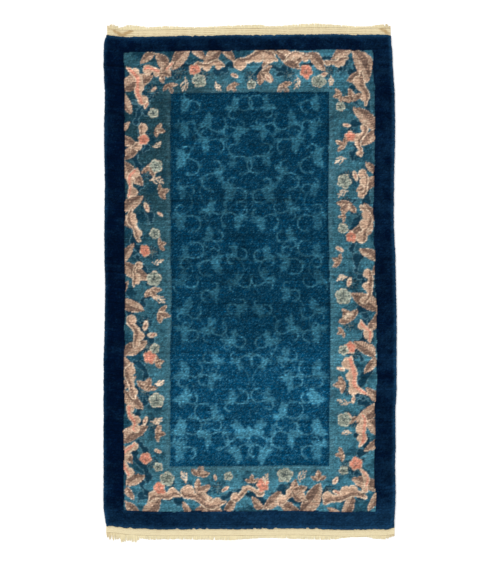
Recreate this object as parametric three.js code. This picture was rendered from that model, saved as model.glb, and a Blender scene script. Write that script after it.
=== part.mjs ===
// A hand-knotted Chinese wool rug, lying flat on a floor. Millimetres, +Z up.
//
// The rug is five solids: the knotted rug itself, a flat-woven cotton web at each end, and
// past each web a narrow heading with its short cut warp ends, the fringe.
// X runs across the rug, +Y runs along it towards the end that is called the head here, and
// the origin is on the floor under the middle of the whole rug, fringes included.
import * as THREE from "three";
import { mergeVertices } from "three/addons/utils/BufferGeometryUtils.js";

// Overall sizes
const OVERALL_WIDTH = 925;
const OVERALL_LENGTH = 1640;
const HALF_WIDTH = OVERALL_WIDTH / 2;
const HALF_LENGTH = OVERALL_LENGTH / 2;

// The knotted rug: a firm foundation of warps and wefts, and the cut pile that flares past it
const FOUNDATION_THICKNESS = 3.2;
const PILE_TOP = 13;
const PILE_FLARE = 3.5;
const FLARE_HEIGHT = 5.5;
const EDGE_ROUNDING = 14;

// The slow unevenness of a hand-clipped pile: the height and the wavelengths of its swells
const SWELL = { height: 0.35, across: 520, along: 800 };
const RIPPLE = { height: 0.25, across: 1320, along: 380 };

// The pile is clipped lower along the lines that part the two borders and the field
const CARVED_DEPTH = 1.6;
const CARVED_HALF_WIDTH = 6;
const OUTER_LINE = { left: 65, right: 65, head: 50, foot: 58 };
const FIELD_LINE = { left: 211, right: 210, head: 181, foot: 199 };

// Where the grid of the pile's face has its lines
const ROUNDING_LINES = [0, 1.5, 4, 8, EDGE_ROUNDING];
const OUTER_BORDER_LINE = 0.6;
const INNER_BORDER_LINES = [0.33, 0.67];
const FIELD_COLUMNS = 12;
const FIELD_ROWS = 24;
const CROSSING_PASSES = 5;

// The woven ends. The gap is told along the rug, so squarely across it is narrower on a slope.
const PIECE_GAP = 0.46;
const WEB_WIDTH = 20;
const WEB_TUCKED_UNDER = 1.3;
const WEB_THICKNESS = 2.2;
const WEB_COLUMNS = 52;
const WEB_RIBS = 4;
const RIB_HEIGHT = 0.5;

// The fringe: a heading and the locks of cut warp ends that grow out of it
const HEADING_WIDTH = 3;
const FRINGE_THICKNESS = 1.9;
const LOCKS_PER_END = 104;
const LOCK_GAP = 1.3;
const LOCK_SECTIONS = [0.55, 1];
const LOCK_TIP_WIDTH = 0.62;
const LOCK_TIP_HEIGHT = 0.65;
const LOCK_TOP_WIDTH = 0.8;
const LOCK_LEAN = 1.7;
const LOCK_RAGGEDNESS = 1.6;

// Colours of the dyed wool and the undyed cotton
const NAVY_WOOL = { color: 0x0b2341, roughness: 0.95, metalness: 0 };
const UNDYED_COTTON = { color: 0xe6d7ab, roughness: 0.9, metalness: 0 };

// How far inside half of the overall width the pile's long edges lie, by the place along the
// rug, because a hand-woven rug is never quite straight
const LEFT_EDGE = [
  { y: -772, inset: 9.5 },
  { y: -737, inset: 3.5 },
  { y: -702, inset: 0 },
  { y: -434, inset: 0 },
  { y: -245, inset: 0.5 },
  { y: -137, inset: 3.5 },
  { y: -17, inset: 5 },
  { y: 134, inset: 2.5 },
  { y: 300, inset: 4 },
  { y: 475, inset: 1.5 },
  { y: 589, inset: 4 },
  { y: 702, inset: 0 },
  { y: 762, inset: 2 },
  { y: 780, inset: 9 },
];
const RIGHT_EDGE = [
  { y: -776, inset: 7.5 },
  { y: -661, inset: 3 },
  { y: -586, inset: 5 },
  { y: -516, inset: 3 },
  { y: -420, inset: 4.5 },
  { y: -320, inset: 0 },
  { y: -93, inset: 0 },
  { y: 58, inset: 3.5 },
  { y: 210, inset: 9 },
  { y: 330, inset: 8 },
  { y: 475, inset: 4.5 },
  { y: 589, inset: 6 },
  { y: 702, inset: 12.5 },
  { y: 780, inset: 17.5 },
];

// How far inside half of the overall length the pile ends, by the place across the rug
const HEAD_EDGE = [
  { x: -454, inset: 38 },
  { x: -409, inset: 43 },
  { x: -359, inset: 43.5 },
  { x: -157, inset: 39.5 },
  { x: 0, inset: 37.5 },
  { x: 269, inset: 35 },
  { x: 348, inset: 37.5 },
  { x: 430, inset: 36 },
  { x: 446, inset: 40 },
];
const FOOT_EDGE = [
  { x: -454, inset: 52 },
  { x: -428, inset: 54.5 },
  { x: -400, inset: 47 },
  { x: -283, inset: 42.5 },
  { x: 0, inset: 43.5 },
  { x: 133, inset: 45.5 },
  { x: 323, inset: 41 },
  { x: 436, inset: 43 },
  { x: 455, inset: 49 },
];

// How far inside half of the overall length the fringe's cut tips end
const HEAD_TIPS = [
  { x: -451, inset: 9 },
  { x: -436, inset: 2 },
  { x: -418, inset: 8 },
  { x: -409, inset: 16 },
  { x: -400, inset: 9 },
  { x: -384, inset: 4 },
  { x: -315, inset: 12 },
  { x: -267, inset: 8 },
  { x: -188, inset: 11.5 },
  { x: 26, inset: 4 },
  { x: 64, inset: 8 },
  { x: 203, inset: 0 },
  { x: 285, inset: 5 },
  { x: 354, inset: 10 },
  { x: 433, inset: 2 },
  { x: 444, inset: 11 },
];
const FOOT_TIPS = [
  { x: -454, inset: 17 },
  { x: -430, inset: 6 },
  { x: -419, inset: 13 },
  { x: -406, inset: 1 },
  { x: -384, inset: 5 },
  { x: -368, inset: 0 },
  { x: -340, inset: 12 },
  { x: -315, inset: 8 },
  { x: -252, inset: 10 },
  { x: -68, inset: 7 },
  { x: 48, inset: 13.5 },
  { x: 238, inset: 8.5 },
  { x: 354, inset: 18 },
  { x: 418, inset: 9 },
  { x: 457, inset: 19 },
];

// The two ends: which way each one faces along Y, its tables, where its woven cotton starts
// and stops across the rug, and the seed of its fringe
const HEAD = { name: "head", way: 1, edge: HEAD_EDGE, tips: HEAD_TIPS, from: -451, to: 443.5, seed: 4 };
const FOOT = { name: "foot", way: -1, edge: FOOT_EDGE, tips: FOOT_TIPS, from: -454, to: 456, seed: 2 };

// The inset at a place in a table, with level tangents at each row, so that an edge waves
// softly through its rows
function insetAt(table, axis, place) {
  if (place <= table[0][axis]) return table[0].inset;
  if (place >= table.at(-1)[axis]) return table.at(-1).inset;
  const next = table.findIndex((row) => row[axis] > place);
  const a = table[next - 1];
  const b = table[next];
  const t = (place - a[axis]) / (b[axis] - a[axis]);
  return a.inset + (b.inset - a.inset) * t * t * (3 - 2 * t);
}

const lengthwiseReach = (table, x) => HALF_LENGTH - insetAt(table, "x", x);
const leftEdge = (y) => insetAt(LEFT_EDGE, "y", y) - HALF_WIDTH;
const rightEdge = (y) => HALF_WIDTH - insetAt(RIGHT_EDGE, "y", y);
const headEdge = (x) => lengthwiseReach(HEAD_EDGE, x);
const footEdge = (x) => -lengthwiseReach(FOOT_EDGE, x);

// Grid lines of the knotted rug, as distances in from an edge: close together where the pile
// rounds over its edge and on both sides of each carved line, and wide apart between
function insets(outerLine, fieldLine) {
  const carved = (line) => [line - CARVED_HALF_WIDTH, line, line + CARVED_HALF_WIDTH];
  return [
    ...ROUNDING_LINES,
    OUTER_BORDER_LINE * outerLine,
    ...carved(outerLine),
    ...INNER_BORDER_LINES.map((t) => outerLine + t * (fieldLine - outerLine)),
    ...carved(fieldLine),
  ];
}

// The same lines as functions of the two edges that they lie between, with evenly spaced
// lines added across the field
function gridLines(lowInsets, highInsets, fieldLines) {
  const lowEnd = lowInsets.at(-1);
  const highEnd = highInsets.at(-1);
  const low = lowInsets.map((inset) => (a) => a + inset);
  const high = highInsets.map((inset) => (a, b) => b - inset).reverse();
  const field = Array.from({ length: fieldLines }, (_, i) => {
    const t = (i + 1) / (fieldLines + 1);
    return (a, b) => (a + lowEnd) * (1 - t) + (b - highEnd) * t;
  });
  return [...low, ...field, ...high];
}

// The rounded shoulder of the pile: a quarter ellipse from the flare up to the full height
function shoulder(distanceIn) {
  const t = Math.min(1, Math.max(0, distanceIn / EDGE_ROUNDING));
  return Math.sqrt(1 - (1 - t) * (1 - t));
}

// How much lower the pile is clipped near a line that runs round the rug at these insets
function carving(reach, line) {
  const inside = Math.min(
    reach.left - line.left,
    reach.right - line.right,
    reach.head - line.head,
    reach.foot - line.foot,
  );
  return CARVED_DEPTH * Math.max(0, 1 - Math.abs(inside) / CARVED_HALF_WIDTH);
}

function unevenness(x, y) {
  const turn = 2 * Math.PI;
  const swell = Math.sin((turn * x) / SWELL.across) * Math.cos((turn * y) / SWELL.along);
  const ripple = Math.sin(turn * (x / RIPPLE.across + y / RIPPLE.along));
  return SWELL.height * swell + RIPPLE.height * ripple;
}

function pileHeight(x, y) {
  const reach = {
    left: x - leftEdge(y),
    right: rightEdge(y) - x,
    head: headEdge(x) - y,
    foot: y - footEdge(x),
  };
  const rounded = Math.min(
    shoulder(Math.min(reach.left, reach.right)),
    shoulder(Math.min(reach.head, reach.foot)),
  );
  const clipped = carving(reach, OUTER_LINE) + carving(reach, FIELD_LINE);
  const full = PILE_TOP - SWELL.height - RIPPLE.height + unevenness(x, y) - clipped;
  return FLARE_HEIGHT + (full - FLARE_HEIGHT) * rounded;
}

// The knotted rug: a grid of points for the pile's face, two rings down the side, under the
// flare and down the foundation's edge, and one flat polygon that lies on the floor
function knottedRug() {
  const leftLines = insets(OUTER_LINE.left, FIELD_LINE.left);
  const rightLines = insets(OUTER_LINE.right, FIELD_LINE.right);
  const footLines = insets(OUTER_LINE.foot, FIELD_LINE.foot);
  const headLines = insets(OUTER_LINE.head, FIELD_LINE.head);
  const columns = gridLines(leftLines, rightLines, FIELD_COLUMNS);
  const rows = gridLines(footLines, headLines, FIELD_ROWS);

  // The point where a column and a row cross. The edges wave, so x depends on y and y on x,
  // and the two are worked out in turn until they agree.
  const crossing = (column, row, inset) => {
    let x = 0;
    let y = 0;
    for (let pass = 0; pass < CROSSING_PASSES; pass += 1) {
      y = rows[row](footEdge(x) + inset, headEdge(x) - inset);
      x = columns[column](leftEdge(y) + inset, rightEdge(y) - inset);
    }
    return { x, y };
  };

  const points = [];
  const faces = [];
  for (let row = 0; row < rows.length; row += 1) {
    for (let column = 0; column < columns.length; column += 1) {
      const { x, y } = crossing(column, row, 0);
      points.push([x, y, pileHeight(x, y)]);
    }
  }
  const at = (column, row) => row * columns.length + column;
  for (let row = 0; row + 1 < rows.length; row += 1) {
    for (let column = 0; column + 1 < columns.length; column += 1) {
      addQuad(faces, at(column, row), at(column + 1, row), at(column + 1, row + 1), at(column, row + 1));
    }
  }

  const rim = rimOf(columns.length, rows.length);
  const foundationRing = (height) =>
    rim.map(([column, row]) => {
      const { x, y } = crossing(column, row, PILE_FLARE);
      return points.push([x, y, height]) - 1;
    });
  const pileRing = rim.map(([column, row]) => at(column, row));
  const upperRing = foundationRing(FOUNDATION_THICKNESS);
  const floorRing = foundationRing(0);
  addWall(faces, pileRing, upperRing);
  addWall(faces, upperRing, floorRing);

  const outline = floorRing.map((i) => new THREE.Vector2(points[i][0], points[i][1]));
  for (const [a, b, c] of THREE.ShapeUtils.triangulateShape(outline, [])) {
    faces.push([floorRing[c], floorRing[b], floorRing[a]]);
  }
  return solid(points, faces);
}

// The grid's outermost points, in order, anticlockwise from the foot's left corner
function rimOf(columnCount, rowCount) {
  const rim = [];
  for (let column = 0; column < columnCount - 1; column += 1) rim.push([column, 0]);
  for (let row = 0; row < rowCount - 1; row += 1) rim.push([columnCount - 1, row]);
  for (let column = columnCount - 1; column > 0; column -= 1) rim.push([column, rowCount - 1]);
  for (let row = rowCount - 1; row > 0; row -= 1) rim.push([0, row]);
  return rim;
}

function addQuad(faces, a, b, c, d) {
  faces.push([a, b, c], [a, c, d]);
}

// A wall between two closed rings of points. Seen from outside, the upper ring is above the
// lower one and both run to the right.
function addWall(faces, upper, lower) {
  for (let i = 0; i < upper.length; i += 1) {
    const j = (i + 1) % upper.length;
    addQuad(faces, lower[i], lower[j], upper[j], upper[i]);
  }
}

// A closed mesh from lists of points and triangles. The ends are built for the head, and at
// the foot they are mirrored, so there their triangles are turned round.
function solid(points, faces, mirrored = false) {
  const geometry = new THREE.BufferGeometry();
  geometry.setAttribute("position", new THREE.Float32BufferAttribute(points.flat(), 3));
  geometry.setIndex(faces.flatMap(([a, b, c]) => (mirrored ? [c, b, a] : [a, b, c])));
  return mergeVertices(geometry, 1e-4);
}

const columnX = (end, column) => end.from + ((end.to - end.from) * column) / WEB_COLUMNS;

// The pile's edge at an end, in straight chords from one column of the web to the next, so
// that the web and the fringe beside it keep an even gap
function chordedEdge(end, x) {
  const column = ((x - end.from) / (end.to - end.from)) * WEB_COLUMNS;
  const before = Math.min(WEB_COLUMNS - 1, Math.max(0, Math.floor(column)));
  const near = lengthwiseReach(end.edge, columnX(end, before));
  const far = lengthwiseReach(end.edge, columnX(end, before + 1));
  return near + (far - near) * (column - before);
}

// A cotton web: a thin flat section, ribbed on top by its wefts, carried along the end. It
// starts under the pile's flare, clear of the foundation's edge.
function cottonWeb(end) {
  const ribPoints = 2 * WEB_RIBS;
  const section = [{ across: 0, z: 0 }];
  for (let i = 0; i <= ribPoints; i += 1) {
    section.push({ across: i / ribPoints, z: WEB_THICKNESS + (i % 2) * RIB_HEIGHT });
  }
  section.push({ across: 1, z: 0 });

  const points = [];
  const faces = [];
  const rings = Array.from({ length: WEB_COLUMNS + 1 }, (_, column) => {
    const x = columnX(end, column);
    const start = chordedEdge(end, x) - WEB_TUCKED_UNDER;
    return section.map(({ across, z }) => {
      const y = start + across * (WEB_TUCKED_UNDER + WEB_WIDTH);
      return points.push([x, end.way * y, z]) - 1;
    });
  });
  for (let column = 0; column < WEB_COLUMNS; column += 1) {
    addWall(faces, rings[column], rings[column + 1]);
  }
  for (let i = 1; i + 1 < section.length; i += 1) {
    const [first, last] = [rings[0], rings.at(-1)];
    faces.push([first[0], first[i], first[i + 1]], [last[0], last[i + 1], last[i]]);
  }
  return solid(points, faces, end.way < 0);
}

// A number from 0 to 1 that looks irregular and is the same at every build
function scatter(index, seed) {
  const value = Math.sin(index * 12.9898 + seed * 78.233) * 43758.5453;
  return value - Math.floor(value);
}

// A fringe: a narrow heading past the web, and four-sided locks of warp ends that grow out of
// its outer face, each with its own lean, lying level on the floor and thinning to its tip
function cottonFringe(end) {
  const points = [];
  const faces = [];
  const inner = [];
  const outer = [];
  const add = (x, y, z) => points.push([x, end.way * y, z]) - 1;
  const start = (x) => chordedEdge(end, x) + WEB_WIDTH + PIECE_GAP;
  const pitch = (end.to - end.from) / LOCKS_PER_END;
  for (let lock = 0; lock < LOCKS_PER_END; lock += 1) {
    const x0 = end.from + lock * pitch + LOCK_GAP / 2;
    const x1 = end.from + (lock + 1) * pitch - LOCK_GAP / 2;
    for (const x of [x0, x1]) {
      const innerY = start(x);
      const outerY = innerY + HEADING_WIDTH;
      inner.push({ floor: add(x, innerY, 0), top: add(x, innerY, FRINGE_THICKNESS) });
      outer.push({ floor: add(x, outerY, 0), top: add(x, outerY, FRINGE_THICKNESS) });
    }
    addLock(lock, x0, x1);
  }
  addHeading();
  return solid(points, faces, end.way < 0);

  // One lock: a section of four points at its root, its middle and its tip
  function addLock(lock, x0, x1) {
    const middle = (x0 + x1) / 2;
    const rootY = start(middle) + HEADING_WIDTH;
    const cut = LOCK_RAGGEDNESS * scatter(lock, end.seed);
    const length = lengthwiseReach(end.tips, middle) - cut - rootY;
    const lean = LOCK_LEAN * (2 * scatter(lock, end.seed + 1) - 1);
    const left = outer.at(-2);
    const right = outer.at(-1);
    let section = [left.floor, right.floor, right.top, left.top];
    for (const t of LOCK_SECTIONS) {
      const half = ((x1 - x0) / 2) * (1 - (1 - LOCK_TIP_WIDTH) * t * t);
      const x = Math.min(end.to - half, Math.max(end.from + half, middle + lean * t));
      const y = rootY + length * t;
      const height = FRINGE_THICKNESS * (1 - (1 - LOCK_TIP_HEIGHT) * t);
      const next = [
        add(x - half, y, 0),
        add(x + half, y, 0),
        add(x + half * LOCK_TOP_WIDTH, y, height),
        add(x - half * LOCK_TOP_WIDTH, y, height),
      ];
      addWall(faces, section, next);
      section = next;
    }
    addQuad(faces, section[3], section[2], section[1], section[0]);
  }

  // The strip that holds the locks: its outer face is open only where a lock grows out of it
  function addHeading() {
    for (let i = 0; i + 1 < inner.length; i += 1) {
      const j = i + 1;
      const betweenLocks = i % 2 === 1;
      addQuad(faces, inner[i].top, inner[j].top, outer[j].top, outer[i].top);
      addQuad(faces, outer[i].floor, outer[j].floor, inner[j].floor, inner[i].floor);
      addQuad(faces, inner[i].floor, inner[j].floor, inner[j].top, inner[i].top);
      if (betweenLocks) addQuad(faces, outer[i].top, outer[j].top, outer[j].floor, outer[i].floor);
    }
    addQuad(faces, inner[0].floor, inner[0].top, outer[0].top, outer[0].floor);
    addQuad(faces, outer.at(-1).floor, outer.at(-1).top, inner.at(-1).top, inner.at(-1).floor);
  }
}

function piece(name, geometry, finish) {
  const mesh = new THREE.Mesh(geometry, new THREE.MeshStandardMaterial(finish));
  geometry.computeVertexNormals();
  mesh.name = name;
  return mesh;
}

const rug = new THREE.Group();
rug.add(piece("knotted_rug", knottedRug(), NAVY_WOOL));
for (const end of [HEAD, FOOT]) {
  rug.add(piece(`cotton_web_${end.name}`, cottonWeb(end), UNDYED_COTTON));
  rug.add(piece(`fringe_${end.name}`, cottonFringe(end), UNDYED_COTTON));
}

export default rug;
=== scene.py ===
# %% [markdown]
# # A Chinese knotted rug
# The real thing is wool tied knot by knot on cotton warps and clipped to an even pile, with a
# plain woven strip and the cut warps at both ends. A picture laid on a flat box would look
# printed. So every knot here gets a point of its own, with a colour and a height, and the
# design is knotted into the pile as on the loom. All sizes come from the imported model.

import bpy
import numpy as np
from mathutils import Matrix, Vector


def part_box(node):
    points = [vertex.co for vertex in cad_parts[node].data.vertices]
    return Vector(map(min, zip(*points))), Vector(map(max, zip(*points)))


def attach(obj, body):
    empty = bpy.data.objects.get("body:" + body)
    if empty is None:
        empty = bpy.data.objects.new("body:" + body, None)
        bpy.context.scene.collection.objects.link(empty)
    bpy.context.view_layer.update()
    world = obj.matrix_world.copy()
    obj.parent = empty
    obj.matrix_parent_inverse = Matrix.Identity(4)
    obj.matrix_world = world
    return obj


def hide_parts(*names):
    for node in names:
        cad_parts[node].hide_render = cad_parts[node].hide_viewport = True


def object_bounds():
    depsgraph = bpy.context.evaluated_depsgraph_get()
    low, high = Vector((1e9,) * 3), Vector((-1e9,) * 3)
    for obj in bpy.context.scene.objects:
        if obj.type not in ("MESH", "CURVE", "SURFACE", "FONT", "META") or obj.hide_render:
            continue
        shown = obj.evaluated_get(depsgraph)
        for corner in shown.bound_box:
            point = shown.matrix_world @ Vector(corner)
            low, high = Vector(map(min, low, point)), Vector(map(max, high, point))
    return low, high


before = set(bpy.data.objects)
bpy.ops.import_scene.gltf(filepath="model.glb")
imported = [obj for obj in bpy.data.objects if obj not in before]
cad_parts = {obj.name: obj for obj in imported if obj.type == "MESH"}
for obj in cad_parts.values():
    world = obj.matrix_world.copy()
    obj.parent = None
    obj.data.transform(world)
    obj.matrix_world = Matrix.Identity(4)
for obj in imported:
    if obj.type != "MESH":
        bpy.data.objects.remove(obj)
cad_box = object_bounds()
MM = 0.001
print("nodes:", sorted(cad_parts))

# %% [markdown]
# ## Camera
# The photograph looks straight down on the rug, which fills most of the frame. A long lens far
# above keeps the borders parallel, and the width that one pixel covers sets how far away it is.

# %% Camera straight above the rug
PHOTO_HEIGHT = 566
MM_PER_PIXEL = 3.150
LENS = 85
SENSOR_HEIGHT = 24
VIEW_CENTRE = (-0.0002, -0.0002)

camera_data = bpy.data.cameras.new("overhead_camera")
camera_data.sensor_fit = "VERTICAL"
camera_data.sensor_height = SENSOR_HEIGHT
camera_data.lens = LENS
camera = bpy.data.objects.new("overhead_camera", camera_data)
bpy.context.scene.collection.objects.link(camera)
camera_distance = PHOTO_HEIGHT * MM_PER_PIXEL * MM * LENS / SENSOR_HEIGHT
camera.location = (*VIEW_CENTRE, camera_distance + cad_box[1][2])
bpy.context.scene.camera = camera
print(f"camera {camera_distance:.2f} m above the pile")

# %% [markdown]
# ## Light and floor
# A rug is lit flat and soft, so that its colours read true. One broad sun from the head's left
# models the carved lines, a weaker one fills in from the other side, and a pale sky does the
# rest. Lamps nearby would light the knots unevenly. The floor glows a little, as a light table
# does, so that hardly a shadow shows round the rug.

# %% Soft light, pale sky and a plain floor
SKY_STRENGTH = 0.68
SUNS = [
    {"name": "key_sun", "tilt": (-0.5, -0.5, 0.0), "strength": 1.25, "spread": 0.7},
    {"name": "fill_sun", "tilt": (0.6, 0.5, 0.0), "strength": 0.35, "spread": 1.2},
]

scene = bpy.context.scene
scene.view_settings.view_transform = "Standard"
scene.world = bpy.data.worlds.new("pale_sky")
scene.world.use_nodes = True
sky = scene.world.node_tree.nodes["Background"]
sky.inputs["Color"].default_value = (1, 1, 1, 1)
sky.inputs["Strength"].default_value = SKY_STRENGTH
for sun in SUNS:
    light = bpy.data.lights.new(sun["name"], "SUN")
    light.energy = sun["strength"]
    light.angle = sun["spread"]
    lamp = bpy.data.objects.new(sun["name"], light)
    lamp.rotation_euler = sun["tilt"]
    scene.collection.objects.link(lamp)

FLOOR_HALF = 60.0
FLOOR_DROP = 0.0004
FLOOR_GLOW = 0.16
SQUARE = [(-1, -1), (1, -1), (1, 1), (-1, 1)]
floor_mesh = bpy.data.meshes.new("studio_floor")
floor_corners = [(FLOOR_HALF * x, FLOOR_HALF * y, -FLOOR_DROP) for x, y in SQUARE]
floor_mesh.from_pydata(floor_corners, [], [(0, 1, 2, 3)])
floor = bpy.data.objects.new("studio_floor", floor_mesh)
scene.collection.objects.link(floor)
paint = bpy.data.materials.new("pale_floor_paint")
paint.use_nodes = True
paint_shader = paint.node_tree.nodes["Principled BSDF"]
paint_shader.inputs["Base Color"].default_value = (0.96, 0.96, 0.96, 1)
paint_shader.inputs["Roughness"].default_value = 0.9
paint_shader.inputs["Emission Color"].default_value = (1, 1, 1, 1)
paint_shader.inputs["Emission Strength"].default_value = FLOOR_GLOW
floor_mesh.materials.append(paint)

# %% [markdown]
# ## The rug's outline
# A hand-woven rug is never quite straight: its edges wander by millimetres and its corners draw
# in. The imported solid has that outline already, as the ring of points where the pile flares out
# furthest. The ring is read back and split at its corners into four edges, so the finished pile
# can't stray from the solid it stands for.

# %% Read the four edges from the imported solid
FLARE_HEIGHT = 5.5
FLARE_TOLERANCE = 0.05


def node_points(node):
    """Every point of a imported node, in millimetres."""
    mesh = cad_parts[node].data
    points = np.empty(len(mesh.vertices) * 3, np.float32)
    mesh.vertices.foreach_get("co", points)
    return points.reshape(-1, 3).astype(float) / MM


def flare_ring():
    """The points at the flare's height, in order of their angle about the rug's middle."""
    points = node_points("knotted_rug")
    at_flare = np.abs(points[:, 2] - FLARE_HEIGHT) < FLARE_TOLERANCE
    ring = np.unique(np.round(points[at_flare, :2], 2), axis=0)
    return ring[np.argsort(np.arctan2(ring[:, 1], ring[:, 0]))]


ring = flare_ring()
foot_left, foot_right, head_right, head_left = (int(np.argmax(ring @ np.array(way))) for way in SQUARE)
foot_ring = ring[foot_left : foot_right + 1]
right_ring = ring[foot_right : head_right + 1]
head_ring = ring[head_right : head_left + 1][::-1]
left_ring = np.concatenate([ring[head_left:], ring[: foot_left + 1]])[::-1]

# %% The edges as functions


def edge(points, axis):
    """A function that gives an edge's other coordinate for any place along that axis."""
    return lambda place: np.interp(place, points[:, axis], points[:, 1 - axis])


left_edge, right_edge = edge(left_ring, 1), edge(right_ring, 1)
foot_edge, head_edge = edge(foot_ring, 0), edge(head_ring, 0)

LEFT, RIGHT = cad_box[0][0] / MM, cad_box[1][0] / MM
FOOT, HEAD = float(np.mean(foot_ring[:, 1])), float(np.mean(head_ring[:, 1]))
PILE_TOP = cad_box[1][2] / MM
print(f"pile {RIGHT - LEFT:.0f} by {HEAD - FOOT:.0f} mm, {PILE_TOP:.0f} mm thick, {len(ring)} points round")

# %% [markdown]
# ## The grid of knots
# A good Chinese rug has about 120 knots to the foot, one every 2.5 mm. The grid has a crossing
# for each. It is drawn up as a plain rectangle, as a weaver's chart is, and then pulled to the
# outline, so the design bends with the edges as it does on the real rug.

# %% A plain rectangle of knots
KNOT_COLUMNS = 364
KNOT_ROWS = 613
SETTLING_PASSES = 4
across = np.linspace(LEFT, RIGHT, KNOT_COLUMNS + 1)
along = np.linspace(FOOT, HEAD, KNOT_ROWS + 1)
KNOT_ACROSS = across[1] - across[0]
KNOT_ALONG = along[1] - along[0]
X, Y = np.meshgrid(across, along)
from_left, from_right = X - LEFT, RIGHT - X
from_foot, from_head = Y - FOOT, HEAD - Y


def on_the_rug(x, y):
    """Where a point of the plain rectangle lies on the rug: the same share of the way from the
    left edge to the right and from the foot to the head, worked out in turn until they agree."""
    share_across = (x - LEFT) / (RIGHT - LEFT)
    share_along = (y - FOOT) / (HEAD - FOOT)
    for _ in range(SETTLING_PASSES):
        y = foot_edge(x) + share_along * (head_edge(x) - foot_edge(x))
        x = left_edge(y) + share_across * (right_edge(y) - left_edge(y))
    return x, y


print(f"{X.size} knots, {KNOT_ACROSS:.2f} by {KNOT_ALONG:.2f} mm each")

# %% The lines that part the borders and the field
OUTER_LINE = {"left": 65, "right": 65, "foot": 58, "head": 50}
FIELD_LINE = {"left": 211, "right": 210, "foot": 199, "head": 181}


def inside_line(line):
    """How far each knot lies inside a line that runs round the rug at these distances in."""
    across_reach = np.minimum(from_left - line["left"], from_right - line["right"])
    along_reach = np.minimum(from_foot - line["foot"], from_head - line["head"])
    return np.minimum(across_reach, along_reach)


def knot_lines(line):
    """The first and last column, and the first and last row of knots, on such a line."""
    first_column = round(line["left"] / KNOT_ACROSS)
    last_column = KNOT_COLUMNS - round(line["right"] / KNOT_ACROSS)
    first_row = round(line["foot"] / KNOT_ALONG)
    last_row = KNOT_ROWS - round(line["head"] / KNOT_ALONG)
    return first_column, last_column, first_row, last_row


reaches = [from_left, from_right, from_foot, from_head]
edge_reach = np.min(reaches, axis=0)

# %% [markdown]
# ## Dyes
# The yarns are a deep navy, teal blues and a few warm naturals. Screen colours are easy to judge
# against a photograph, but light is worked out on linear ones, so each dye is turned into a
# linear colour as it is named.

# %% Dyes of the wool


def dye(red, green, blue):
    """The linear colour of a yarn that shows these values, from 0 to 255, on a screen."""
    value = np.array([red, green, blue]) / 255
    return np.where(value <= 0.04045, value / 12.92, ((value + 0.055) / 1.055) ** 2.4)


NAVY = dye(0, 11, 34)
SHEEN_AND_WORN_NAVY = dye(21, 55, 84)
DEEP_TEAL = dye(0, 43, 67)
VINE_BLUE = dye(64, 122, 140)
LEAF_BLUE = dye(38, 94, 115)
BORDER_TEAL = dye(50, 93, 107)
SHADE_TEAL = dye(2, 42, 62)
SKY_BLUE = dye(92, 130, 142)
CREAM = dye(222, 198, 172)
SAND = dye(202, 172, 147)
TAN = dye(184, 150, 127)
BROWN = dye(114, 92, 81)
UMBER = dye(84, 70, 64)
CORAL = dye(198, 123, 102)
ROSE = dye(206, 150, 130)
OLIVE = dye(104, 112, 104)
SAGE = dye(168, 174, 158)

# %% [markdown]
# ## Unevenness of the wool
# No two dye lots match, and every skein takes the dye a little differently. Soft blotches,
# streaks along the rows and a touch of difference from knot to knot give that. They are random
# numbers with a fixed seed, so each run makes the same rug. Where two yarns share a motif, the
# lot that picks one of them runs in loose rows, as a weaver hatches.

# %% Soft blotches and single knots
rng = np.random.default_rng(613)
HATCH_PITCH = 8


def smooth(share):
    """Rises from 0 to 1 as share does, level at both ends."""
    share = np.clip(share, 0, 1)
    return share * share * (3 - 2 * share)


def blotches(spacing_across, spacing_along):
    """Values from -1 to 1: random ones on a coarse net, joined both ways by smooth curves."""
    u = (across - LEFT) / spacing_across
    v = (along - FOOT) / spacing_along
    i, j = u.astype(int), v.astype(int)
    net = rng.uniform(-1, 1, (j[-1] + 2, i[-1] + 2))
    blend_u, blend_v = smooth(u - i), smooth(v - j)[:, None]
    rows = net[:, i] * (1 - blend_u) + net[:, i + 1] * blend_u
    return rows[j] * (1 - blend_v) + rows[j + 1] * blend_v


in_border = inside_line(OUTER_LINE) + 2.2 * blotches(48, 48) + 1.2 * blotches(16, 16)
in_field = inside_line(FIELD_LINE) + 1.0 * blotches(60, 60) + 0.7 * blotches(16, 16)
wool_mottle = 0.12 * blotches(90, 60) + 0.12 * blotches(25, 14) + 0.12 * blotches(26, 5)
row_streaks = rng.normal(0, 0.12, (KNOT_ROWS + 1, 1)) * (1 + 0.9 * blotches(50, 5))
single_knots = rng.normal(0, 1, X.shape)
single_knots = 0.75 * single_knots + 0.65 * np.roll(single_knots, 1, axis=1)
knot_by_knot = single_knots * np.where(in_field > 0, 0.3, 0.2)
ragged = 0.9 * blotches(13, 5) + rng.normal(0, 0.25, X.shape)
wandering = 2.4 * blotches(19, 19) + 2.4 * blotches(34, 22)
hatching = (Y / HATCH_PITCH + 2.4 * blotches(60, 60)) % 1
lot = 0.65 * hatching + 0.35 * rng.random(X.shape)

# %% [markdown]
# ## Drawing with knots
# A knot has one yarn, so a motif is the knots inside its outline. Each outline is a formula for
# how many millimetres inside it a place is, and the same formula gives the motif's rings: a
# cream rim a little outside it, a darker heart further in. The outlines wander a little, as
# they do when a chart is knotted by hand, and the shears follow them.

# %% One tool for every motif
GROOVE_HALF_WIDTH = 3.2


def ring_of(grow, yarn, fleck=None, share=0.25, strength=1.0):
    """A ring that starts grow millimetres outside a motif's outline and fills all inside. A share
    of its knots, drawn by lot, are of the fleck's yarn, and strength lets what is below show."""
    fleck = yarn if fleck is None else fleck
    return {"grow": grow, "yarn": yarn, "fleck": fleck, "share": share, "strength": strength}


def spot(x, y, turn=0.0, way=1):
    """Where a motif goes: its place, its turn, and way -1 if it is mirrored left for right."""
    return {"x": x, "y": y, "turn": turn, "way": way}


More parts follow.
